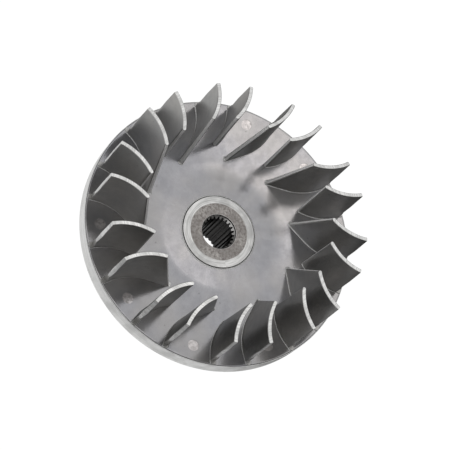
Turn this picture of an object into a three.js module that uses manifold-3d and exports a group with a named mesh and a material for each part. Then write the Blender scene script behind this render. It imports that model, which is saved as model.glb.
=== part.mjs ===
// Fan drive face of a belt variator: an aluminium disc with twenty curved fan blades on its
// front, a conical belt face behind and a steel hub with an internal spline.
// Millimetres, +Z up. The origin is the centre of the hub's rear seat, and the crankshaft
// runs along Z: the belt side faces down and the fan side faces up.
import * as THREE from 'three';
import { mergeVertices } from 'three/addons/utils/BufferGeometryUtils.js';
import Module from 'manifold-3d';

// Heights above the rear seat
const HUB_LENGTH = 33.0;
const RIM_BACK = 27.2;
const RIM_FRONT = 37.2;
const BLADE_HEIGHT = 32.2;
const BLADE_TOP = RIM_FRONT + BLADE_HEIGHT;
const BOSS_BACK = 2.0;

// Disc
const DISC_RADIUS = 75.4;
const RIM_BEVEL = 0.4;
const RIM_TAPER = 0.4;
const DISH_INNER_RADIUS = 36.0;
const DISH_OUTER_RADIUS = 71.0;
const DISH_FLOOR = 32.3;
const BELT_OUTER_RADIUS = 72.8;
const BELT_ANGLE = THREE.MathUtils.degToRad(14);
const BELT_INNER_RADIUS = 23.0;

// Boss of the disc round the hub
const BOSS_RADIUS = 20.3;
const BOSS_DRAFT = 0.6;

// Steel hub and its internal spline
const HUB_RADIUS = 16.1;
const HUB_CHAMFER = 0.5;
const COUNTERBORE_RADIUS = 9.8;
const COUNTERBORE_DEPTH = 1.5;
const SPLINE_TEETH = 24;
const SPLINE_MINOR_RADIUS = 8.5;
const SPLINE_MAJOR_RADIUS = 9.5;
const SPLINE_GAP_AT_MINOR = 0.58;
const SPLINE_GAP_AT_MAJOR = 0.36;

// Fan blades: ten long ones, each followed by a short one
const BLADE_PAIRS = 10;
const SHORT_BLADE_OFFSET = THREE.MathUtils.degToRad(20.7);
const TIP_RADIUS = 70.4;
const INLET_RADIUS = 50.4;
const INLET_SWEEP = THREE.MathUtils.degToRad(8.1);
// Angle from +X of the straight run at the camber's inner end
const CAMBER_START_ANGLE = THREE.MathUtils.degToRad(-40.1);
const RAMP_RUN = 12.0;
const RAMP_FOOT_HEIGHT = 0.9;
const TOP_THICKNESS = 2.1;
const FOOT_THICKNESS = 3.0;
const CAMBER_STEPS = 10;
const TURNED_EDGE_RADIUS = 72.2;
const TURNED_EDGE_HEIGHT = 6.5;
const CAST_FOOT_RADIUS = 73.5;
const CAST_FOOT_HEIGHT = 3.4;
const FOOT_END_RADIUS = 74.5;
const FOOT_END_HEIGHT = 0.9;

// Fits and facets
const CLEARANCE = 0.3;
const DISC_SEGMENTS = 120;
const HUB_SEGMENTS = 72;

const wasm = await Module();
wasm.setup();

const castAluminium = new THREE.MeshStandardMaterial({
  color: 0xb3b2b6,
  roughness: 0.5,
  metalness: 0.9,
});
const hubSteel = new THREE.MeshStandardMaterial({
  color: 0x86827d,
  roughness: 0.45,
  metalness: 0.9,
});

// A closed solid of revolution about Z from [radius, height] corners
function turned(corners, segments) {
  const outline = [...corners, corners[0]].map(([radius, height]) => new THREE.Vector2(radius, height));
  const geometry = new THREE.LatheGeometry(outline, segments);
  geometry.rotateX(Math.PI / 2);
  return geometry;
}

function toSolid(geometry) {
  const bare = geometry.clone();
  bare.deleteAttribute('normal');
  bare.deleteAttribute('uv');
  const merged = mergeVertices(bare, 1e-4);
  const vertProperties = new Float32Array(merged.attributes.position.array);
  const triVerts = new Uint32Array(merged.index.array);
  return new wasm.Manifold(new wasm.Mesh({ numProp: 3, vertProperties, triVerts }));
}

function fromSolid(solid) {
  const mesh = solid.getMesh();
  const geometry = new THREE.BufferGeometry();
  geometry.setAttribute('position', new THREE.BufferAttribute(mesh.vertProperties, 3));
  geometry.setIndex(new THREE.BufferAttribute(mesh.triVerts, 1));
  geometry.computeVertexNormals();
  return geometry;
}

// Height of the dished front face at a radius
function frontFace(radius) {
  const rise = (radius - DISH_INNER_RADIUS) / (DISH_OUTER_RADIUS - DISH_INNER_RADIUS);
  return DISH_FLOOR + (RIM_FRONT - DISH_FLOOR) * THREE.MathUtils.clamp(rise, 0, 1);
}

// The disc casting: dished front, straight rim, conical belt face and the boss for the hub
function fanPlate() {
  const bore = HUB_RADIUS + CLEARANCE;
  const coneDrop = (BELT_OUTER_RADIUS - BELT_INNER_RADIUS) * Math.tan(BELT_ANGLE);
  const corners = [
    [bore, BOSS_BACK],
    [BOSS_RADIUS - BOSS_DRAFT, BOSS_BACK],
    [BOSS_RADIUS, BOSS_BACK + 2 * BOSS_DRAFT],
    [BOSS_RADIUS + BOSS_DRAFT, RIM_BACK - coneDrop - BOSS_DRAFT],
    [BELT_INNER_RADIUS, RIM_BACK - coneDrop],
    [BELT_OUTER_RADIUS, RIM_BACK],
    [DISC_RADIUS - RIM_BEVEL, RIM_BACK],
    [DISC_RADIUS, RIM_BACK + RIM_BEVEL],
    [DISC_RADIUS - RIM_TAPER, RIM_FRONT - RIM_BEVEL],
    [DISC_RADIUS - RIM_TAPER - RIM_BEVEL, RIM_FRONT],
    [DISH_OUTER_RADIUS, RIM_FRONT],
    [DISH_INNER_RADIUS, DISH_FLOOR],
    [BOSS_RADIUS, DISH_FLOOR],
    [BOSS_RADIUS, HUB_LENGTH],
    [bore, HUB_LENGTH],
  ];
  return turned(corners, DISC_SEGMENTS);
}

// Outline of the spline cutter: a wheel whose teeth become the gaps of the internal spline
function splineCutterOutline() {
  const pitch = (2 * Math.PI) / SPLINE_TEETH;
  const root = SPLINE_MINOR_RADIUS - CLEARANCE;
  const outline = new THREE.Shape();
  for (let tooth = 0; tooth < SPLINE_TEETH; tooth += 1) {
    const middle = tooth * pitch;
    const corners = [
      [root, -SPLINE_GAP_AT_MINOR / 2],
      [SPLINE_MAJOR_RADIUS, -SPLINE_GAP_AT_MAJOR / 2],
      [SPLINE_MAJOR_RADIUS, SPLINE_GAP_AT_MAJOR / 2],
      [root, SPLINE_GAP_AT_MINOR / 2],
    ];
    corners.forEach(([radius, share], index) => {
      const angle = middle + share * pitch;
      const x = radius * Math.cos(angle);
      const y = radius * Math.sin(angle);
      if (tooth === 0 && index === 0) {
        outline.moveTo(x, y);
      } else {
        outline.lineTo(x, y);
      }
    });
  }
  outline.closePath();
  return outline;
}

// The steel hub: a sleeve with a counterbore and a lead-in at each end of its spline
function splinedHub() {
  const leadIn = COUNTERBORE_RADIUS - SPLINE_MINOR_RADIUS;
  const counterboreFloor = HUB_LENGTH - COUNTERBORE_DEPTH;
  const sleeve = turned([
    [COUNTERBORE_RADIUS, 0],
    [HUB_RADIUS - HUB_CHAMFER, 0],
    [HUB_RADIUS, HUB_CHAMFER],
    [HUB_RADIUS, HUB_LENGTH],
    [COUNTERBORE_RADIUS, HUB_LENGTH],
    [COUNTERBORE_RADIUS, counterboreFloor],
    [SPLINE_MINOR_RADIUS, counterboreFloor - leadIn],
    [SPLINE_MINOR_RADIUS, leadIn],
  ], HUB_SEGMENTS);
  const cutter = new THREE.ExtrudeGeometry(splineCutterOutline(), {
    depth: HUB_LENGTH + 2,
    bevelEnabled: false,
  });
  cutter.translate(0, 0, -1);
  return fromSolid(toSolid(sleeve).subtract(toSolid(cutter)));
}

// Places along a blade's middle line, from its inner end to the disc's edge. Each holds a point,
// the direction of travel and the height of the blade's top there. The tip lies on +X: the camber
// is an arc from the inlet corner to the tip, and a long blade runs on inwards along the arc's
// tangent, sloping down to the disc.
function bladeStations(isLong) {
  const inlet = new THREE.Vector2(
    INLET_RADIUS * Math.cos(INLET_SWEEP),
    INLET_RADIUS * Math.sin(INLET_SWEEP),
  );
  const tip = new THREE.Vector2(TIP_RADIUS, 0);
  const chord = tip.clone().sub(inlet);
  const chordAngle = chord.angle() - 2 * Math.PI;
  const startAngle = CAMBER_START_ANGLE;
  const turn = 2 * (chordAngle - startAngle);
  const arcRadius = chord.length() / (2 * Math.sin(turn / 2));
  const centre = inlet.clone().add(new THREE.Vector2(
    -Math.sin(startAngle) * arcRadius,
    Math.cos(startAngle) * arcRadius,
  ));
  const stations = [];
  if (isLong) {
    const run = new THREE.Vector2(Math.cos(startAngle), Math.sin(startAngle));
    const foot = inlet.clone().addScaledVector(run, -RAMP_RUN);
    stations.push({ point: foot, angle: startAngle, top: frontFace(foot.length()) + RAMP_FOOT_HEIGHT });
  }
  for (let step = 0; step <= CAMBER_STEPS; step += 1) {
    const angle = startAngle + (turn * step) / CAMBER_STEPS;
    const point = new THREE.Vector2(
      centre.x + Math.sin(angle) * arcRadius,
      centre.y - Math.cos(angle) * arcRadius,
    );
    stations.push({ point, angle, top: BLADE_TOP });
  }
  const outward = startAngle + turn;
  const footSteps = [
    [TURNED_EDGE_RADIUS, TURNED_EDGE_HEIGHT],
    [CAST_FOOT_RADIUS, CAST_FOOT_HEIGHT],
    [FOOT_END_RADIUS, FOOT_END_HEIGHT],
  ];
  for (const [radius, height] of footSteps) {
    const reach = radius - TIP_RADIUS;
    const point = tip.clone().add(new THREE.Vector2(
      Math.cos(outward) * reach,
      Math.sin(outward) * reach,
    ));
    stations.push({ point, angle: outward, top: RIM_FRONT + height });
  }
  return stations;
}

// A blade wall: four corners at each station, joined along the blade and capped at both ends.
// The wall is thickest at its foot.
function fanBlade(isLong) {
  const positions = [];
  const stations = bladeStations(isLong);
  for (const { point, angle, top } of stations) {
    const side = new THREE.Vector2(-Math.sin(angle), Math.cos(angle));
    const bottom = frontFace(point.length() + FOOT_THICKNESS / 2) + CLEARANCE;
    const fullHeight = BLADE_TOP - frontFace(point.length());
    const share = (top - bottom) / fullHeight;
    const footHalf = FOOT_THICKNESS / 2;
    const topHalf = THREE.MathUtils.lerp(FOOT_THICKNESS, TOP_THICKNESS, share) / 2;
    const corners = [[footHalf, bottom], [-footHalf, bottom], [-topHalf, top], [topHalf, top]];
    for (const [reach, height] of corners) {
      positions.push(point.x + side.x * reach, point.y + side.y * reach, height);
    }
  }
  const faces = [];
  const quad = (a, b, c, d) => faces.push(a, b, c, a, c, d);
  for (let station = 0; station + 1 < stations.length; station += 1) {
    const here = station * 4;
    const next = here + 4;
    for (let corner = 0; corner < 4; corner += 1) {
      const after = (corner + 1) % 4;
      quad(here + corner, next + corner, next + after, here + after);
    }
  }
  const last = (stations.length - 1) * 4;
  quad(0, 1, 2, 3);
  quad(last + 3, last + 2, last + 1, last);
  const geometry = new THREE.BufferGeometry();
  geometry.setAttribute('position', new THREE.Float32BufferAttribute(positions, 3));
  geometry.setIndex(faces);
  geometry.computeVertexNormals();
  return geometry;
}

function named(name, geometry, material) {
  const mesh = new THREE.Mesh(geometry, material);
  mesh.name = name;
  return mesh;
}

const driveFace = new THREE.Group();
driveFace.add(named('fan_plate', fanPlate(), castAluminium));
driveFace.add(named('splined_hub', splinedHub(), hubSteel));
for (let pair = 0; pair < BLADE_PAIRS; pair += 1) {
  const number = String(pair + 1).padStart(2, '0');
  const pairAngle = (pair * 2 * Math.PI) / BLADE_PAIRS;
  const longBlade = named(`long_blade_${number}`, fanBlade(true), castAluminium);
  longBlade.rotation.z = pairAngle;
  const shortBlade = named(`short_blade_${number}`, fanBlade(false), castAluminium);
  shortBlade.rotation.z = pairAngle + SHORT_BLADE_OFFSET;
  driveFace.add(longBlade, shortBlade);
}

export default driveFace;
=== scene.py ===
"""Looks of the fan drive face of a belt variator: one aluminium casting with twenty curved
fan blades, turned on its rim, boss and belt face, and a steel hub with an internal spline."""

import math

import bmesh
import bpy
from mathutils import Matrix, Vector


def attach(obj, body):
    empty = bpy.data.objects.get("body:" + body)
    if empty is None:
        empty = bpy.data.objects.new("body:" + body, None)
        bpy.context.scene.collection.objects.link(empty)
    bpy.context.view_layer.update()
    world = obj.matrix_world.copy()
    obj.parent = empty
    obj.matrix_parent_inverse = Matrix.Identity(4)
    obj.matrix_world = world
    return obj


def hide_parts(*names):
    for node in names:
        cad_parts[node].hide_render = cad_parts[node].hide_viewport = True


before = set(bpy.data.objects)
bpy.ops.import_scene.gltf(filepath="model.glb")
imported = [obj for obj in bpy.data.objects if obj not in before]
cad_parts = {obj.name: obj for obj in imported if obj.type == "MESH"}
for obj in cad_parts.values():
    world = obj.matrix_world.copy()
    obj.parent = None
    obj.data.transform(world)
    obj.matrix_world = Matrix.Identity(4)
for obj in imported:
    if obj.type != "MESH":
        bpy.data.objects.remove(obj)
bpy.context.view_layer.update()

# Lengths are written in millimetres and turned into metres with MM
MM = 0.001

# Heights above the hub's rear seat
HUB_LENGTH = 33.0
RIM_BACK = 27.2
RIM_FRONT = 37.2
BLADE_TOP = 69.4
BOSS_BACK = 2.0

# Disc and belt face
DISC_RADIUS = 75.4
RIM_TAPER = 0.4
DISH_INNER_RADIUS = 36.0
DISH_OUTER_RADIUS = 74.0
DISH_FLOOR = 32.3
BELT_OUTER_RADIUS = 72.8
BELT_INNER_RADIUS = 23.0
BELT_DROP = 12.4
BOSS_RADIUS = 20.3
HUB_SEAT_RADIUS = 16.25
DISC_STEPS = 240

# Marks of the ejector pins, one in each wide passage
PIN_RADIUS = 3.0
PIN_REACH = 66.6
PIN_DEPTH = 0.16
PIN_SWEEP = math.radians(11.4)

# Hub
HUB_RADIUS = 16.23
COUNTERBORE_RADIUS = 9.8
COUNTERBORE_DEPTH = 1.5
SPLINE_TEETH = 24
SPLINE_MINOR_RADIUS = 8.5
SPLINE_MAJOR_RADIUS = 9.5
HUB_CHAMFER = 0.5
COUNTERBORE_CHAMFER = 0.2

# Blades
BLADE_PAIRS = 10
SHORT_BLADE_OFFSET = math.radians(20.7)
TIP_RADIUS = 70.4
INLET_RADIUS = 50.4
INLET_SWEEP = math.radians(8.1)
CAMBER_START_ANGLE = math.radians(-40.1)
RAMP_RUN = 12.0
RAMP_FOOT_LAND = 1.2
RAMP_FOOT_HEIGHT = 0.9
TOP_HALF = 1.05
FOOT_HALF = 1.35
FOOT_FILLET = 0.5
CAST_EDGE_ROUND = 1.0
TURNED_EDGE_CHAMFER = 0.22
TURNED_EDGE_REACH = 1.8
TURNED_EDGE_HEIGHT = 6.5
CAST_FOOT_REACH = 3.1
CAST_FOOT_HEIGHT = 3.4
FOOT_END_REACH = 4.1
FOOT_END_HEIGHT = 0.9
BLADE_SINK = 0.4
RAMP_STEPS = 6
ARC_STEPS = 24

# Rows of points over a blade's rounded edge, and up through the fillet at its foot
ROUND_ROWS = (0.08, 0.3, 0.62)
FILLET_ROWS = (-BLADE_SINK, -0.03, 0.04, 0.12, 0.27, FOOT_FILLET)

# Points closer than this are one point
MERGE = 0.004
BLADE_MERGE = 0.01
RING_SLACK = 0.02
SMOOTH_ANGLE = math.radians(32)


# ---------------------------------------------------------------- modelling helpers

def begin(add_primitive, **size):
    """Adds a primitive on its own and opens it for editing."""
    bpy.ops.object.select_all(action="DESELECT")
    add_primitive(**size)
    bpy.ops.object.mode_set(mode="EDIT")
    bpy.ops.mesh.select_mode(type="VERT")
    bpy.ops.mesh.select_all(action="SELECT")
    return bpy.context.object


def pick(piece, kind, test):
    """Selects the verts, edges or faces that pass the test, and nothing else."""
    bpy.ops.mesh.select_all(action="DESELECT")
    modes = {"verts": "VERT", "edges": "EDGE", "faces": "FACE"}
    bpy.ops.mesh.select_mode(type=modes[kind])
    mesh = bmesh.from_edit_mesh(piece.data)
    for element in getattr(mesh, kind):
        if test(element):
            element.select_set(True)
    mesh.select_flush_mode()
    bmesh.update_edit_mesh(piece.data)


def radius_of(point):
    return math.hypot(point.x, point.y) / MM


def on_ring(radius, height):
    """A test for edges that lie on one turned ring."""
    return lambda edge: all(
        abs(radius_of(v.co) - radius) < RING_SLACK and abs(v.co.z / MM - height) < RING_SLACK
        for v in edge.verts
    )


def merge_doubles(distance=MERGE):
    bpy.ops.mesh.select_all(action="SELECT")
    bpy.ops.mesh.remove_doubles(threshold=distance * MM)


def close_mesh(distance=MERGE):
    merge_doubles(distance)
    bpy.ops.mesh.normals_make_consistent(inside=False)
    bpy.ops.object.mode_set(mode="OBJECT")


def named(piece, name):
    piece.name = name
    piece.data.name = name
    return piece


def turned(corners, steps):
    """A closed solid of revolution drawn out ring by ring through (radius, height, rounding)
    corners, each of which then gets its rounding."""
    radius, height, _ = corners[0]
    piece = begin(bpy.ops.mesh.primitive_circle_add, vertices=steps, radius=radius * MM)
    bpy.ops.transform.translate(value=(0, 0, height * MM))
    for next_radius, next_height, _ in corners[1:] + corners[:1]:
        rise = (0, 0, (next_height - height) * MM)
        bpy.ops.mesh.extrude_edges_move(TRANSFORM_OT_translate={"value": rise})
        share = next_radius / radius
        bpy.ops.transform.resize(value=(share, share, 1), center_override=(0, 0, 0))
        radius, height = next_radius, next_height
    merge_doubles()
    for radius, height, rounding in corners:
        if rounding:
            pick(piece, "edges", on_ring(radius, height))
            bpy.ops.mesh.bevel(
                offset=rounding * MM, segments=4 if rounding > 0.2 else 2, affect="EDGES"
            )
    close_mesh()
    return piece


def smooth(piece):
    bpy.ops.object.select_all(action="DESELECT")
    piece.select_set(True)
    bpy.context.view_layer.objects.active = piece
    bpy.ops.object.shade_smooth_by_angle(angle=SMOOTH_ANGLE)
    apply_modifier(piece, "WEIGHTED_NORMAL", keep_sharp=True, weight=80)


def apply_modifier(piece, kind, **settings):
    bpy.context.view_layer.objects.active = piece
    modifier = piece.modifiers.new(kind.title(), kind)
    for key, value in settings.items():
        setattr(modifier, key, value)
    bpy.ops.object.modifier_apply(modifier=modifier.name)


def cut_with(piece, cutter):
    apply_modifier(piece, "BOOLEAN", operation="DIFFERENCE", solver="EXACT", object=cutter)
    bpy.data.objects.remove(cutter)


def front_face(radius):
    """Height of the dished front face at a radius."""
    share = (radius - DISH_INNER_RADIUS) / (DISH_OUTER_RADIUS - DISH_INNER_RADIUS)
    return DISH_FLOOR + (RIM_FRONT - DISH_FLOOR) * min(1.0, max(0.0, share))


# ---------------------------------------------------------------- the disc casting

def disc_casting():
    """Dished disc with a turned rim, a conical belt face and the boss round the hub."""
    casting = turned([
        (HUB_SEAT_RADIUS, BOSS_BACK, 0.15),
        (BOSS_RADIUS - 0.6, BOSS_BACK, 0.5),
        (BOSS_RADIUS + 0.5, RIM_BACK - BELT_DROP - 0.5, 1.2),
        (BELT_INNER_RADIUS, RIM_BACK - BELT_DROP - 0.5, 0),
        (BELT_INNER_RADIUS + 0.2, RIM_BACK - BELT_DROP, 0),
        (BELT_OUTER_RADIUS, RIM_BACK, 0.4),
        (DISC_RADIUS, RIM_BACK, 0.35),
        (DISC_RADIUS - RIM_TAPER, RIM_FRONT - 0.3, 0.15),
        (DISC_RADIUS - RIM_TAPER - 0.3, RIM_FRONT - 0.3, 0),
        (DISC_RADIUS - RIM_TAPER - 0.45, RIM_FRONT - 0.5, 0),
        (DISC_RADIUS - RIM_TAPER - 0.65, RIM_FRONT, 0.15),
        (DISH_OUTER_RADIUS, RIM_FRONT, 0.2),
        (DISH_INNER_RADIUS, DISH_FLOOR, 5.0),
        (BOSS_RADIUS + 0.95, DISH_FLOOR, 0.2),
        (BOSS_RADIUS + 0.42, DISH_FLOOR + 0.40, 0),
        (BOSS_RADIUS + 0.20, DISH_FLOOR + 0.05, 0),
        (BOSS_RADIUS, HUB_LENGTH, 0.12),
        (HUB_SEAT_RADIUS, HUB_LENGTH, 0),
    ], DISC_STEPS)
    cut_with(casting, pin_mark_cutter())
    return named(casting, "disc_casting")


def pin_mark_cutter():
    """Ejector pins, one in each wide passage, pressed a little into the sloping face."""
    tall = 4.0
    slope = math.atan2(RIM_FRONT - DISH_FLOOR, DISH_OUTER_RADIUS - DISH_INNER_RADIUS)
    tilt = Matrix.Rotation(-slope, 4, "Y")
    seat = Vector((PIN_REACH, 0, front_face(PIN_REACH)))
    seat += tilt @ Vector((0, 0, tall / 2 - PIN_DEPTH))
    tilted = Matrix.Translation(seat * MM) @ tilt
    pin = {"vertices": 40, "radius": PIN_RADIUS * MM, "depth": tall * MM}
    cutter = begin(bpy.ops.mesh.primitive_cylinder_add, **pin)
    for pair in range(BLADE_PAIRS):
        if pair:
            bpy.ops.mesh.select_all(action="DESELECT")
            bpy.ops.mesh.primitive_cylinder_add(**pin)
        mesh = bmesh.from_edit_mesh(cutter.data)
        turn = Matrix.Rotation(PIN_SWEEP + pair * math.tau / BLADE_PAIRS, 4, "Z")
        bmesh.ops.transform(mesh, matrix=turn @ tilted, verts=[v for v in mesh.verts if v.select])
        bmesh.update_edit_mesh(cutter.data)
    bpy.ops.object.mode_set(mode="OBJECT")
    return cutter


# ---------------------------------------------------------------- the fan blades

class Camber:
    """Middle line of a blade in plan: straight run, arc from the inlet corner to the tip, and
    straight again out to the rim. The tip lies on +X."""

    def __init__(self):
        self.inlet = Vector((math.cos(INLET_SWEEP), math.sin(INLET_SWEEP), 0)) * INLET_RADIUS
        self.tip = Vector((TIP_RADIUS, 0, 0))
        chord = self.tip - self.inlet
        chord_angle = math.atan2(chord.y, chord.x)
        self.start = CAMBER_START_ANGLE
        self.turn = 2 * (chord_angle - self.start)
        self.radius = chord.length / (2 * math.sin(self.turn / 2))
        self.run = Vector((math.cos(self.start), math.sin(self.start), 0))
        self.out = Vector((math.cos(self.start + self.turn), math.sin(self.start + self.turn), 0))
        self.centre = self.inlet + Vector((-self.run.y, self.run.x, 0)) * self.radius
        self.length = self.radius * self.turn

    def travel(self, point):
        """Distance along the line at a point near it, from the inlet corner outwards."""
        back = (point - self.inlet).dot(self.run)
        if back < 0:
            return back
        ahead = (point - self.tip).dot(self.out)
        if ahead > 0:
            return self.length + ahead
        spoke = point - self.centre
        return self.radius * (math.atan2(spoke.x, -spoke.y) - self.start)


CAMBER = Camber()


def distance_to_run(point, run):
    """Distance from a (travel, height) point to a run of straight edges."""
    nearest = 1e9
    for a, b in zip(run, run[1:]):
        edge = Vector(b) - Vector(a)
        share = (Vector(point) - Vector(a)).dot(edge) / edge.length_squared
        foot = Vector(a) + edge * min(1.0, max(0.0, share))
        nearest = min(nearest, (Vector(point) - foot).length)
    return nearest


def blade_outline(is_long):
    """Side view of a blade as (travel, height) runs: its cast edges and its turned edges."""
    end = CAMBER.length
    cast_foot = [
        (end + TURNED_EDGE_REACH, RIM_FRONT + TURNED_EDGE_HEIGHT),
        (end + CAST_FOOT_REACH, RIM_FRONT + CAST_FOOT_HEIGHT),
        (end + FOOT_END_REACH, RIM_FRONT + FOOT_END_HEIGHT),
        (end + FOOT_END_REACH, RIM_FRONT),
    ]
    if is_long:
        foot_point = CAMBER.inlet - CAMBER.run * RAMP_RUN
        land = front_face(foot_point.length) + RAMP_FOOT_HEIGHT
        inner = -RAMP_RUN - RAMP_FOOT_LAND
        cast_inner = [(inner, land - 2), (inner, land), (-RAMP_RUN, land), (0, BLADE_TOP)]
    else:
        cast_inner = [(0, DISH_FLOOR), (0, BLADE_TOP + 3)]
    turned_edge = [(0, BLADE_TOP), (end, BLADE_TOP), cast_foot[0]]
    return cast_inner, cast_foot, turned_edge


def half_width(outline, travel, height, face):
    """Half thickness of a blade at a place on its middle sheet: drafted wall, fillet at the
    foot, rounded cast edges and a small chamfer at the turned ones."""
    cast_inner, cast_foot, turned_edge = outline
    above = height - face
    if above < FOOT_FILLET:
        drop = min(1.0, (FOOT_FILLET - above) / FOOT_FILLET)
        half = FOOT_HALF + FOOT_FILLET * (1 - math.sqrt(max(0.0, 1 - drop * drop)))
    else:
        share = (above - FOOT_FILLET) / (BLADE_TOP - face - FOOT_FILLET)
        half = FOOT_HALF + (TOP_HALF - FOOT_HALF) * share
    inset = distance_to_run((travel, height), cast_inner)
    inset = min(inset, distance_to_run((travel, height), cast_foot))
    if inset < CAST_EDGE_ROUND:
        lack = 1 - inset / CAST_EDGE_ROUND
        half *= math.sqrt(max(0.0, 1 - lack * lack))
    inset = distance_to_run((travel, height), turned_edge)
    if inset < TURNED_EDGE_CHAMFER and half > TOP_HALF * 0.8:
        half -= TURNED_EDGE_CHAMFER - inset
    return half


def blade(is_long, name):
    """One blade: a sheet along the camber, trimmed to its side view and thickened."""
    first = CAMBER.inlet.copy()
    if is_long:
        first -= CAMBER.run * (RAMP_RUN + RAMP_FOOT_LAND)
    piece = begin(bpy.ops.mesh.primitive_plane_add, size=MM)
    bpy.ops.mesh.merge(type="CENTER")
    bpy.ops.transform.translate(value=first * MM)
    steps = [b - a for a, b in zip((0, *ROUND_ROWS), (*ROUND_ROWS, CAST_EDGE_ROUND))]
    spun = 0.0
    if is_long:
        steps += [RAMP_FOOT_LAND - CAST_EDGE_ROUND] + [RAMP_RUN / RAMP_STEPS] * RAMP_STEPS
        for step in steps:
            bpy.ops.mesh.extrude_vertices_move(
                TRANSFORM_OT_translate={"value": CAMBER.run * step * MM})
    else:
        for step in steps:
            spin_on(step / CAMBER.radius, 1)
            spun += step / CAMBER.radius
    spin_on(CAMBER.turn - spun, ARC_STEPS)
    reaches = (0, 0.9, TURNED_EDGE_REACH, 2.4, CAST_FOOT_REACH, 3.6, FOOT_END_REACH)
    for a, b in zip(reaches, reaches[1:]):
        bpy.ops.mesh.extrude_vertices_move(
            TRANSFORM_OT_translate={"value": CAMBER.out * (b - a) * MM})

    # The foot follows the dished face, and sinks a little into it
    mesh = bmesh.from_edit_mesh(piece.data)
    for vert in mesh.verts:
        vert.co.z = (front_face(radius_of(vert.co)) - BLADE_SINK) * MM
    bmesh.update_edit_mesh(piece.data)
    bpy.ops.mesh.select_all(action="SELECT")
    for a, b in zip(FILLET_ROWS, FILLET_ROWS[1:]):
        bpy.ops.mesh.extrude_edges_move(TRANSFORM_OT_translate={"value": (0, 0, (b - a) * MM)})
    # A last row is drawn up by any amount and flattened onto the blade's top
    bpy.ops.mesh.extrude_edges_move(TRANSFORM_OT_translate={"value": (0, 0, 5 * MM)})
    bpy.ops.transform.resize(value=(1, 1, 0), center_override=(0, 0, BLADE_TOP * MM))

    outline = blade_outline(is_long)
    cast_inner, cast_foot, turned_edge = outline
    end = CAMBER.length

    def slice_sheet(a, b, inset, clear, region):
        """Cuts the sheet along the straight edge from a to b of its side view."""
        along = CAMBER.run if b[0] <= 0.01 else CAMBER.out
        base = CAMBER.inlet if b[0] <= 0.01 else CAMBER.tip - CAMBER.out * end
        tangent = (along * (b[0] - a[0]) + Vector((0, 0, b[1] - a[1]))).normalized()
        across = Vector((-along.y, along.x, 0))
        normal = across.cross(tangent)
        if normal.dot(along) * (1 if b[0] > 0.01 else -1) < 0:
            normal = -normal
        point = base + along * a[0] + Vector((0, 0, a[1])) - normal * inset
        pick(piece, "faces", region)
        bpy.ops.mesh.bisect(plane_co=point * MM, plane_no=normal, clear_outer=clear)

    def centre_travel(face):
        return CAMBER.travel(face.calc_center_median() / MM)

    def centre_height(face):
        return face.calc_center_median().z / MM

    def centre_above(face):
        middle = face.calc_center_median()
        return middle.z / MM - front_face(radius_of(middle))

    step_height = RIM_FRONT + TURNED_EDGE_HEIGHT
    for height in (step_height, BLADE_TOP - TURNED_EDGE_CHAMFER):
        bpy.ops.mesh.select_all(action="SELECT")
        bpy.ops.mesh.bisect(plane_co=(0, 0, height * MM), plane_no=(0, 0, 1))
    if is_long:
        ramp = cast_inner[-2:]
        for inset in (0, *ROUND_ROWS, CAST_EDGE_ROUND):
            slice_sheet(*ramp, inset, inset == 0,
                        lambda f: centre_above(f) > FOOT_FILLET and centre_travel(f) < 4)
    edge = turned_edge[-2:]
    for inset in (0, TURNED_EDGE_CHAMFER):
        slice_sheet(*edge, inset, inset == 0,
                    lambda f: centre_travel(f) > end - 3
                    and centre_height(f) > step_height)
    for a, b, low, high in (
            (cast_foot[0], cast_foot[1], CAST_FOOT_HEIGHT, TURNED_EDGE_HEIGHT),
            (cast_foot[1], cast_foot[2], FOOT_END_HEIGHT, CAST_FOOT_HEIGHT)):
        pick(piece, "faces", lambda f: centre_travel(f) > end)
        bpy.ops.mesh.bisect(plane_co=(0, 0, (RIM_FRONT + low) * MM), plane_no=(0, 0, 1))
        for inset in (0, *ROUND_ROWS):
            slice_sheet(a, b, inset, inset == 0,
                        lambda f: centre_travel(f) > end
                        and RIM_FRONT + low < centre_height(f) < RIM_FRONT + high)
    merge_doubles(BLADE_MERGE)
    bpy.ops.object.mode_set(mode="OBJECT")

    # Thickness by place, then the sheet becomes a solid
    widest = FOOT_HALF + FOOT_FILLET
    group = piece.vertex_groups.new(name="thickness")
    for vert in piece.data.vertices:
        place = vert.co / MM
        face = front_face(place.xy.length)
        flat = Vector((place.x, place.y, 0))
        half = half_width(outline, CAMBER.travel(flat), place.z, face)
        group.add([vert.index], half / widest, "REPLACE")
    apply_modifier(piece, "SOLIDIFY", thickness=2 * widest * MM, offset=0,
                   vertex_group="thickness")
    bpy.ops.object.mode_set(mode="EDIT")
    close_mesh(BLADE_MERGE)
    return named(piece, name)


def spin_on(angle, steps):
    bpy.ops.mesh.spin(steps=steps, angle=angle, center=CAMBER.centre * MM, axis=(0, 0, -1))


# ---------------------------------------------------------------- the hub

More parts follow.
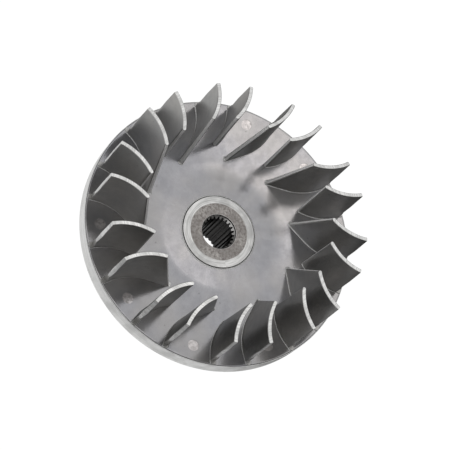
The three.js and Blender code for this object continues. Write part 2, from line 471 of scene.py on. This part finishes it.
def spline_hub():
    """Steel sleeve with a counterbore, lead-ins and an internal spline."""
    per_tooth = 6
    pitch = math.tau / SPLINE_TEETH
    floor = HUB_LENGTH - COUNTERBORE_DEPTH
    lead = COUNTERBORE_RADIUS - SPLINE_MAJOR_RADIUS
    depth = SPLINE_MAJOR_RADIUS - SPLINE_MINOR_RADIUS
    piece = begin(bpy.ops.mesh.primitive_circle_add, vertices=SPLINE_TEETH * per_tooth,
                  radius=COUNTERBORE_RADIUS * MM)

    def place_selected(place):
        mesh = bmesh.from_edit_mesh(piece.data)
        for vert in mesh.verts:
            if vert.select:
                radius, turn, vert.co.z = place(radius_of(vert.co),
                                                math.atan2(vert.co.y, vert.co.x), vert.co.z)
                vert.co.x, vert.co.y = radius * MM * math.cos(turn), radius * MM * math.sin(turn)
        bmesh.update_edit_mesh(piece.data)

    def ring(place):
        bpy.ops.mesh.extrude_edges_move(TRANSFORM_OT_translate={"value": (0, 0, 0)})
        place_selected(place)

    # Six corners to a pitch, drawn together at the flanks: three on the gap, three on the tooth
    flanks = (0.0, 0.18, 0.29, 0.5, -0.29, -0.18)

    def draw_together(radius, turn, _):
        slot = round(turn / pitch * per_tooth)
        middle = round((slot - slot % per_tooth) / per_tooth)
        middle += 1 if slot % per_tooth > per_tooth / 2 else 0
        return radius, (middle + flanks[slot % per_tooth]) * pitch, HUB_LENGTH * MM

    def on_tooth(turn):
        return abs(turn / pitch - round(turn / pitch)) > 0.25

    place_selected(draw_together)
    ring(lambda r, t, z: (r, t, floor * MM))
    ring(lambda r, t, z: (SPLINE_MAJOR_RADIUS, t, z - lead * MM))
    ring(lambda r, t, z: (r - depth, t, z - depth * MM) if on_tooth(t) else (r, t, z))
    ring(lambda r, t, z: (r, t, (COUNTERBORE_RADIUS - r) * MM))
    ring(lambda r, t, z: (COUNTERBORE_RADIUS, t, 0))
    ring(lambda r, t, z: (HUB_RADIUS, t, 0))
    ring(lambda r, t, z: (HUB_RADIUS, t, HUB_LENGTH * MM))
    ring(lambda r, t, z: (COUNTERBORE_RADIUS, t, HUB_LENGTH * MM))
    merge_doubles()
    pick(piece, "edges", on_ring(HUB_RADIUS, 0))
    bpy.ops.mesh.bevel(offset=HUB_CHAMFER * MM, segments=2, affect="EDGES")
    pick(piece, "edges", on_ring(COUNTERBORE_RADIUS, HUB_LENGTH))
    bpy.ops.mesh.bevel(offset=COUNTERBORE_CHAMFER * MM, segments=2, affect="EDGES")
    close_mesh()
    return named(piece, "spline_hub")


# ---------------------------------------------------------------- materials

class Nodes:
    """Adds shader nodes to one tree and joins them up."""

    def __init__(self, tree):
        self.tree = tree

    def put(self, value, socket):
        if isinstance(value, bpy.types.NodeSocket):
            self.tree.links.new(value, socket)
        else:
            socket.default_value = value

    def add(self, kind, inputs=None, **settings):
        node = self.tree.nodes.new("ShaderNode" + kind)
        for key, value in settings.items():
            setattr(node, key, value)
        for key, value in (inputs or {}).items():
            self.put(value, node.inputs[key])
        return node

    def sum(self, operation, *terms):
        return self.add("Math", dict(enumerate(terms)), operation=operation).outputs[0]

    def stretch(self, value, low, high, new_low=0.0, new_high=1.0):
        """The value's range from low to high, spread over a new range and clipped to it."""
        ends = {"Value": value, "From Min": low, "From Max": high,
                "To Min": new_low, "To Max": new_high}
        return self.add("MapRange", ends, interpolation_type="SMOOTHSTEP").outputs["Result"]

    def noise(self, place, scale, detail=3.0, roughness=0.55):
        sockets = {"Vector": place, "Scale": scale, "Detail": detail, "Roughness": roughness}
        return self.add("TexNoise", sockets).outputs["Fac"]

    def blend(self, share, a, b):
        """Mixes two colours; a colour may be three numbers or a socket."""
        node = self.add("Mix", {0: share}, data_type="RGBA")
        for value, socket in ((a, node.inputs[6]), (b, node.inputs[7])):
            self.put((*value, 1) if isinstance(value, tuple) else value, socket)
        return node.outputs[2]


def new_group(name, inputs, outputs):
    """An empty shader node group with number inputs and outputs."""
    tree = bpy.data.node_groups.new(name, "ShaderNodeTree")
    for label, value in inputs.items():
        socket = tree.interface.new_socket(label, in_out="INPUT", socket_type="NodeSocketFloat")
        socket.default_value = value
    for label in outputs:
        tree.interface.new_socket(label, in_out="OUTPUT", socket_type="NodeSocketFloat")
    given = tree.nodes.new("NodeGroupInput").outputs
    result = tree.nodes.new("NodeGroupOutput").inputs
    return Nodes(tree), given, result


def off_axis(nodes, split):
    """The place with its height left out, and how far it is from the crankshaft axis."""
    flat = nodes.add("CombineXYZ", {"X": split[0], "Y": split[1]}).outputs[0]
    return flat, nodes.add("VectorMath", {0: flat}, operation="LENGTH").outputs["Value"]


def casting_skin_group():
    """Stains, mottling, flow streaks, pits and fine grain of a pressure casting, in mm."""
    nodes, given, result = new_group(
        "casting_skin", {"Stain Size": 40.0, "Mottle Size": 7.0, "Grain Size": 0.8},
        ("Stain", "Mottle", "Flow", "Pits", "Height"))
    place = nodes.add("TexCoord").outputs["Object"]
    split = nodes.add("SeparateXYZ", {0: place}).outputs
    flat, radius = off_axis(nodes, split)
    spoke = nodes.add("VectorMath", {0: flat}, operation="NORMALIZE").outputs[0]
    outward = nodes.add("CombineXYZ", {"Z": nodes.sum("MULTIPLY", radius, 14.0)}).outputs[0]
    track = nodes.add("VectorMath", {0: spoke, 1: (2.6, 2.6, 2.6), 2: outward},
                      operation="MULTIPLY_ADD").outputs[0]
    flow = nodes.noise(track, 1.6, 4.0, 0.6)
    nodes.put(nodes.stretch(flow, 0.46, 0.70), result["Flow"])

    def scale_of(size):
        return nodes.sum("DIVIDE", 1 / MM, given[size])

    stain = nodes.noise(place, scale_of("Stain Size"), 3.0)
    mottle = nodes.noise(place, scale_of("Mottle Size"), 5.0, 0.65)
    grain = nodes.noise(place, scale_of("Grain Size"), 3.0, 0.7)
    cells = nodes.add("TexVoronoi", {"Vector": place, "Scale": 240.0, "Randomness": 1.0})
    pit = nodes.stretch(cells.outputs["Distance"], 0.05, 0.16, 1.0, 0.0)
    rare = nodes.stretch(nodes.noise(place, 90.0, 1.0), 0.55, 0.65)
    pits = nodes.sum("MULTIPLY", pit, rare)
    nodes.put(nodes.stretch(stain, 0.36, 0.64), result["Stain"])
    nodes.put(nodes.stretch(mottle, 0.34, 0.66), result["Mottle"])
    nodes.put(pits, result["Pits"])
    bumps = nodes.sum("MULTIPLY_ADD", mottle, 0.1, grain)
    nodes.put(nodes.sum("MULTIPLY_ADD", pits, -0.5, bumps), result["Height"])
    return nodes.tree


def turning_marks_group():
    """Fine feed lines round the crankshaft axis, with uneven bright streaks. Pitch in mm."""
    nodes, given, result = new_group(
        "turning_marks", {"Pitch": 0.35}, ("Streak", "Wear", "Height"))
    place = nodes.add("TexCoord").outputs["Object"]
    split = nodes.add("SeparateXYZ", {0: place}).outputs
    _, radius = off_axis(nodes, split)
    around = nodes.sum("ARCTAN2", split[1], split[0])
    lines = nodes.sum("DIVIDE", 1 / MM, given["Pitch"])
    track = nodes.add("CombineXYZ", {
        "X": nodes.sum("MULTIPLY", radius, lines),
        "Y": nodes.sum("MULTIPLY", split[2], lines),
        "Z": nodes.sum("MULTIPLY", around, 1.6)}).outputs[0]
    feed = nodes.noise(track, 1.0, 2.0)
    patch = nodes.noise(place, 130.0, 4.0, 0.6)
    nodes.put(nodes.stretch(feed, 0.3, 0.7), result["Streak"])
    nodes.put(nodes.stretch(patch, 0.38, 0.68), result["Wear"])
    nodes.put(feed, result["Height"])
    return nodes.tree


CASTING_SKIN = casting_skin_group()
TURNING_MARKS = turning_marks_group()


def new_material(name):
    material = bpy.data.materials.new(name)
    material.use_nodes = True
    nodes = Nodes(material.node_tree)
    shader = material.node_tree.nodes["Principled BSDF"]
    shader.inputs["Metallic"].default_value = 1.0
    return material, nodes, shader.inputs


def use_group(nodes, tree, **values):
    node = nodes.add("Group")
    node.node_tree = tree
    for label, value in values.items():
        node.inputs[label.replace("_", " ").title()].default_value = value
    return node.outputs


def bumped(nodes, height, strength, depth):
    """A normal from a height, with its full depth in millimetres."""
    sockets = {"Height": height, "Strength": strength, "Distance": depth * MM}
    return nodes.add("Bump", sockets).outputs["Normal"]


def cast_aluminium_skin(name, dull, bright, warm, roughness, flow=0.0, mottle=5.0):
    """As-cast aluminium: grey skin that turns warmer in the stains and darker in the pits."""
    material, nodes, shader = new_material(name)
    skin = use_group(nodes, CASTING_SKIN, stain_size=34.0, mottle_size=mottle, grain_size=0.6)
    colour = nodes.blend(skin["Mottle"], dull, bright)
    colour = nodes.blend(nodes.sum("MULTIPLY", skin["Stain"], 0.55), colour, warm)
    colour = nodes.blend(nodes.sum("MULTIPLY", skin["Flow"], flow), colour, (0.62, 0.61, 0.61))
    colour = nodes.blend(nodes.sum("MULTIPLY", skin["Pits"], 0.5), colour, (0.16, 0.155, 0.15))
    nodes.put(colour, shader["Base Color"])
    rough = nodes.stretch(skin["Mottle"], 0.0, 1.0, roughness + 0.02, roughness - 0.02)
    nodes.put(nodes.sum("MULTIPLY_ADD", skin["Stain"], 0.03, rough), shader["Roughness"])
    nodes.put(bumped(nodes, skin["Height"], 0.12, 0.1), shader["Normal"])
    shader["Specular Tint"].default_value = (0.65, 0.65, 0.65, 1)
    return material


def turned_aluminium_finish(name, dull, bright, roughness=0.30, metal=1.0):
    """Machined aluminium: bright feed lines, a little duller where it has been handled."""
    material, nodes, shader = new_material(name)
    shader["Metallic"].default_value = metal
    marks = use_group(nodes, TURNING_MARKS, pitch=0.4)
    colour = nodes.blend(marks["Streak"], dull, bright)
    colour = nodes.blend(nodes.sum("MULTIPLY", marks["Wear"], 0.5), colour, dull)
    nodes.put(colour, shader["Base Color"])
    nodes.put(nodes.stretch(marks["Wear"], 0.0, 1.0, roughness, roughness + 0.12),
              shader["Roughness"])
    nodes.put(bumped(nodes, marks["Height"], 0.35, 0.05), shader["Normal"])
    return material


def hub_steel_finish(name, dark, light, roughness):
    """Faced steel with a blotchy, slightly oily surface."""
    material, nodes, shader = new_material(name)
    skin = use_group(nodes, CASTING_SKIN, stain_size=8.0, mottle_size=1.5, grain_size=0.5)
    marks = use_group(nodes, TURNING_MARKS, pitch=0.3)
    colour = nodes.blend(skin["Mottle"], dark, light)
    colour = nodes.blend(nodes.sum("MULTIPLY", skin["Stain"], 0.5), colour, dark)
    nodes.put(colour, shader["Base Color"])
    nodes.put(nodes.stretch(skin["Mottle"], 0.0, 1.0, roughness - 0.06, roughness + 0.08),
              shader["Roughness"])
    nodes.put(bumped(nodes, marks["Height"], 0.25, 0.04), shader["Normal"])
    return material


def floor_finish():
    """Plain white paper: even and pale to look at; where it is mirrored it glows with painted light,
    dimmed to painted shade towards -Y and farther out on the -X side.
    """
    material, nodes, shader = new_material("pale_floor")
    shader["Metallic"].default_value = 0.0
    shader["Base Color"].default_value = (0.05, 0.05, 0.05, 1)
    shader["Roughness"].default_value = 0.9
    shader["Emission Color"].default_value = (1, 1, 1, 1)
    place = nodes.add("TexCoord").outputs["Object"]
    across = nodes.add("SeparateXYZ", {0: place}).outputs["Y"]
    along = nodes.add("SeparateXYZ", {0: place}).outputs["X"]
    reach = nodes.add("VectorMath", {0: place}, operation="LENGTH").outputs["Value"]
    # For reflections only, the paper glows: painted light that fades to painted shade towards -Y and
    # beyond about 0.1 m on the -X side
    near = nodes.sum("MAXIMUM", nodes.stretch(reach, 0.096, 0.104, 1.0, 0.3),
                     nodes.stretch(along, -0.045, 0.0))
    mirrored = nodes.sum("MULTIPLY", nodes.stretch(across, -0.07, 0.03, 0.15, 0.71), near)
    seen = nodes.add("LightPath").outputs["Is Camera Ray"]
    glow = nodes.sum("MAXIMUM", seen, mirrored)
    nodes.put(glow, shader["Emission Strength"])
    # From below the paper is clear, so the back of the part shows
    tree = material.node_tree
    either = nodes.add("MixShader", {0: nodes.add("NewGeometry").outputs["Backfacing"],
                                     1: tree.nodes["Principled BSDF"].outputs["BSDF"],
                                     2: nodes.add("BsdfTransparent").outputs["BSDF"]})
    nodes.put(either.outputs["Shader"], tree.nodes["Material Output"].inputs["Surface"])
    return material


disc_skin = cast_aluminium_skin(
    "disc_skin", (0.35, 0.35, 0.37), (0.40, 0.40, 0.42), (0.45, 0.435, 0.42), 0.13, flow=0.15)
blade_skin = cast_aluminium_skin(
    "blade_skin", (0.43, 0.43, 0.425), (0.48, 0.48, 0.47), (0.51, 0.495, 0.475), 0.33)
pin_mark_skin = cast_aluminium_skin(
    "pin_mark_skin", (0.34, 0.33, 0.33), (0.80, 0.77, 0.77), (0.66, 0.62, 0.61), 0.18, mottle=1.6)
turned_aluminium = turned_aluminium_finish(
    "turned_aluminium", (0.72, 0.72, 0.71), (0.92, 0.92, 0.91))
boss_aluminium = turned_aluminium_finish(
    "boss_aluminium", (0.52, 0.52, 0.51), (0.86, 0.86, 0.85), 0.34)
faced_edge = turned_aluminium_finish("faced_edge", (0.64, 0.64, 0.63), (0.99, 0.99, 0.98))
skimmed_edge = turned_aluminium_finish("skimmed_edge", (0.55, 0.55, 0.545), (0.98, 0.98, 0.97))
# Near-white, almost non-metal finish: a painted highlight on the rounded ramp edges of the long blades and
# on the flank round the boss foot
painted_highlight_edge = turned_aluminium_finish(
    "painted_highlight_edge", (0.88, 0.87, 0.86), (0.98, 0.98, 0.97), 0.45, metal=0.1)
# Brightened, part-metal finish on the blade foot fillets: a painted highlight line along the foot of each
# blade
painted_fillet_highlight = turned_aluminium_finish(
    "painted_fillet_highlight", (0.50, 0.50, 0.49), (0.84, 0.84, 0.83), 0.30, metal=0.65)
hub_steel = hub_steel_finish("hub_steel", (0.22, 0.20, 0.19), (0.60, 0.575, 0.55), 0.46)
lead_steel = hub_steel_finish("lead_steel", (0.55, 0.54, 0.53), (0.85, 0.84, 0.83), 0.28)
# Near-black steel: painted shade on the oily steel of the spline bore, and a painted dark line of shade in
# the groove round the boss
painted_shade_steel = hub_steel_finish("painted_shade_steel", (0.008, 0.007, 0.007), (0.03, 0.028, 0.026), 0.28)


def paint(piece, base, *others):
    """Gives a piece its material, and the faces that pass a test the one that goes with it."""
    piece.data.materials.clear()
    piece.data.materials.append(base)
    for other, where in others:
        piece.data.materials.append(other)
        for face in piece.data.polygons:
            if where(face):
                face.material_index = len(piece.data.materials) - 1


# ---------------------------------------------------------------- build

def disc_is_turned(face):
    radius = radius_of(face.center)
    height = face.center.z / MM
    rim = radius > DISC_RADIUS - RIM_TAPER - 0.4
    boss_top = radius < BOSS_RADIUS + 0.75 and height > DISH_FLOOR - 0.1
    behind = face.normal.z < -0.5 and height < RIM_BACK + 0.5
    bore = radius < HUB_SEAT_RADIUS + 0.2
    return rim or boss_top or behind or bore


def blade_is_faced(face):
    return face.center.z / MM > BLADE_TOP - 0.03


# The rounded ramp edge of a long blade, painted white as a highlight
def blade_is_ramp_highlight(face):
    radius = radius_of(face.center)
    return radius < INLET_RADIUS + 2 and face.normal.dot(CAMBER.run) < -0.80


def disc_is_pin_mark(face):
    radius = radius_of(face.center)
    sunk = face.center.z / MM < front_face(radius) - 0.1
    return 63 < radius < 70.2 and face.normal.z > 0.9 and sunk


def blade_is_skimmed(face):
    height = face.center.z / MM
    radius = radius_of(face.center)
    outer = face.normal.xy.normalized().dot(face.center.xy.normalized()) > 0.8
    return radius > TIP_RADIUS - 0.5 and outer and height > RIM_FRONT + TURNED_EDGE_HEIGHT


# The spline bore, which is painted near-black as shade
def hub_is_bore(face):
    radius = radius_of(face.center)
    return radius < SPLINE_MAJOR_RADIUS + 0.1 and abs(face.normal.z) < 0.2


def hub_is_lead(face):
    radius = radius_of(face.center)
    return radius < COUNTERBORE_RADIUS + 0.3 and 0.2 < face.normal.z < 0.95


def disc_is_boss(face):
    return disc_is_turned(face) and radius_of(face.center) < BOSS_RADIUS


# The flank just outside the boss, painted white as a highlight
def disc_is_boss_foot(face):
    out = radius_of(face.center) - BOSS_RADIUS
    return 0.45 < out < 1.0 and face.center.z / MM > DISH_FLOOR - 0.1 and face.normal.z > 0.3


# The narrow groove round the boss, painted near-black as a line of shade
def disc_is_boss_groove(face):
    out = radius_of(face.center) - BOSS_RADIUS
    return 0.02 < out < 0.45 and DISH_FLOOR - 0.1 < face.center.z / MM < HUB_LENGTH - 0.02


# The fillet at a blade's foot, which carries the painted highlight line
def blade_is_fillet(face):
    radius = radius_of(face.center)
    above = face.center.z / MM - front_face(radius)
    return 0.0 < above < FOOT_FILLET * 0.8 and face.normal.z > 0.3


casting = disc_casting()
paint(casting, disc_skin, (turned_aluminium, disc_is_turned),
      (boss_aluminium, disc_is_boss), (painted_highlight_edge, disc_is_boss_foot), (painted_shade_steel, disc_is_boss_groove),
      (pin_mark_skin, disc_is_pin_mark))
smooth(casting)
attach(casting, "root")
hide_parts("fan_plate")

hub = spline_hub()
paint(hub, hub_steel, (painted_shade_steel, hub_is_bore), (lead_steel, hub_is_lead))
smooth(hub)
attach(hub, "root")
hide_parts("splined_hub")

for is_long, kind, offset in ((True, "long_blade", 0.0), (False, "short_blade", SHORT_BLADE_OFFSET)):
    pattern = blade(is_long, kind)
    paint(pattern, blade_skin, (skimmed_edge, blade_is_skimmed),
          (painted_fillet_highlight, blade_is_fillet), (painted_highlight_edge, blade_is_ramp_highlight), (faced_edge, blade_is_faced))
    smooth(pattern)
    for pair in range(BLADE_PAIRS):
        node = f"{kind}_{pair + 1:02d}"
        copy = pattern.copy()
        copy.data = pattern.data.copy()
        bpy.context.scene.collection.objects.link(copy)
        copy.data.transform(Matrix.Rotation(offset + pair * math.tau / BLADE_PAIRS, 4, "Z"))
        named(copy, f"cast_{node}")
        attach(copy, "root")
        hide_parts(node)
    bpy.data.objects.remove(pattern)

# ---------------------------------------------------------------- stage, light and camera

bpy.ops.object.select_all(action="DESELECT")
bpy.ops.mesh.primitive_plane_add(size=6, location=(0, 0, -0.0003))
floor = named(bpy.context.object, "floor")
paint(floor, floor_finish())


def softbox(name, towards, distance, size, watts, tint):
    """A square soft light that looks at the middle of the disc from a direction."""
    direction = Vector(towards).normalized()
    light = bpy.data.lights.new(name, "AREA")
    light.shape = "SQUARE"
    light.size = size
    light.energy = watts
    light.color = tint
    lamp = bpy.data.objects.new(name, light)
    lamp.location = Vector((0, 0, 0.04)) + direction * distance
    lamp.rotation_mode = "QUATERNION"
    lamp.rotation_quaternion = direction.to_track_quat("Z", "Y")
    bpy.context.scene.collection.objects.link(lamp)


softbox("key_softbox", (0.22, -0.29, 0.96), 1.03, 0.19, 0.078, (1.0, 0.93, 0.88))

# Soft surroundings: palest high up on the far side, with a low fill on the viewer's side
world = bpy.data.worlds.new("studio")
bpy.context.scene.world = world
world.use_nodes = True
sky = Nodes(world.node_tree)
aim = sky.add("TexCoord").outputs["Generated"]
facing = sky.add("VectorMath", {0: aim, 1: (0.28, -0.40, 0.87)}, operation="DOT_PRODUCT")
shade = sky.stretch(facing.outputs["Value"], 0.25, 1.0, 0.06, 0.81)
low = sky.add("VectorMath", {0: aim, 1: (-0.10, 0.86, 0.50)}, operation="DOT_PRODUCT")
height = sky.add("SeparateXYZ", {0: aim}).outputs["Z"]
fill = sky.sum("MULTIPLY", sky.stretch(low.outputs["Value"], 0.60, 0.92),
               sky.stretch(height, 0.60, 0.76, 0.95, 0.0))
shade = sky.sum("ADD", shade, fill)
backdrop = world.node_tree.nodes["Background"]
sky.put(shade, backdrop.inputs["Color"])
backdrop.inputs["Strength"].default_value = 1.0

# The camera, with its own three axes and the place where it stands
camera_data = bpy.data.cameras.new("camera")
camera_data.lens = 85.1
camera_data.sensor_width = 36
camera = bpy.data.objects.new("camera", camera_data)
right = Vector((-0.18683, -0.91614, 0.35466))
up = Vector((0.94137, -0.06372, 0.33130))
back = Vector((-0.28091, 0.39577, 0.87433))
placed = Matrix((right, up, back)).transposed().to_4x4()
placed.translation = Vector((-0.15814, 0.22348, 0.53592))
camera.matrix_world = placed
bpy.context.scene.collection.objects.link(camera)
bpy.context.scene.camera = camera
bpy.context.scene.view_settings.view_transform = "Standard"
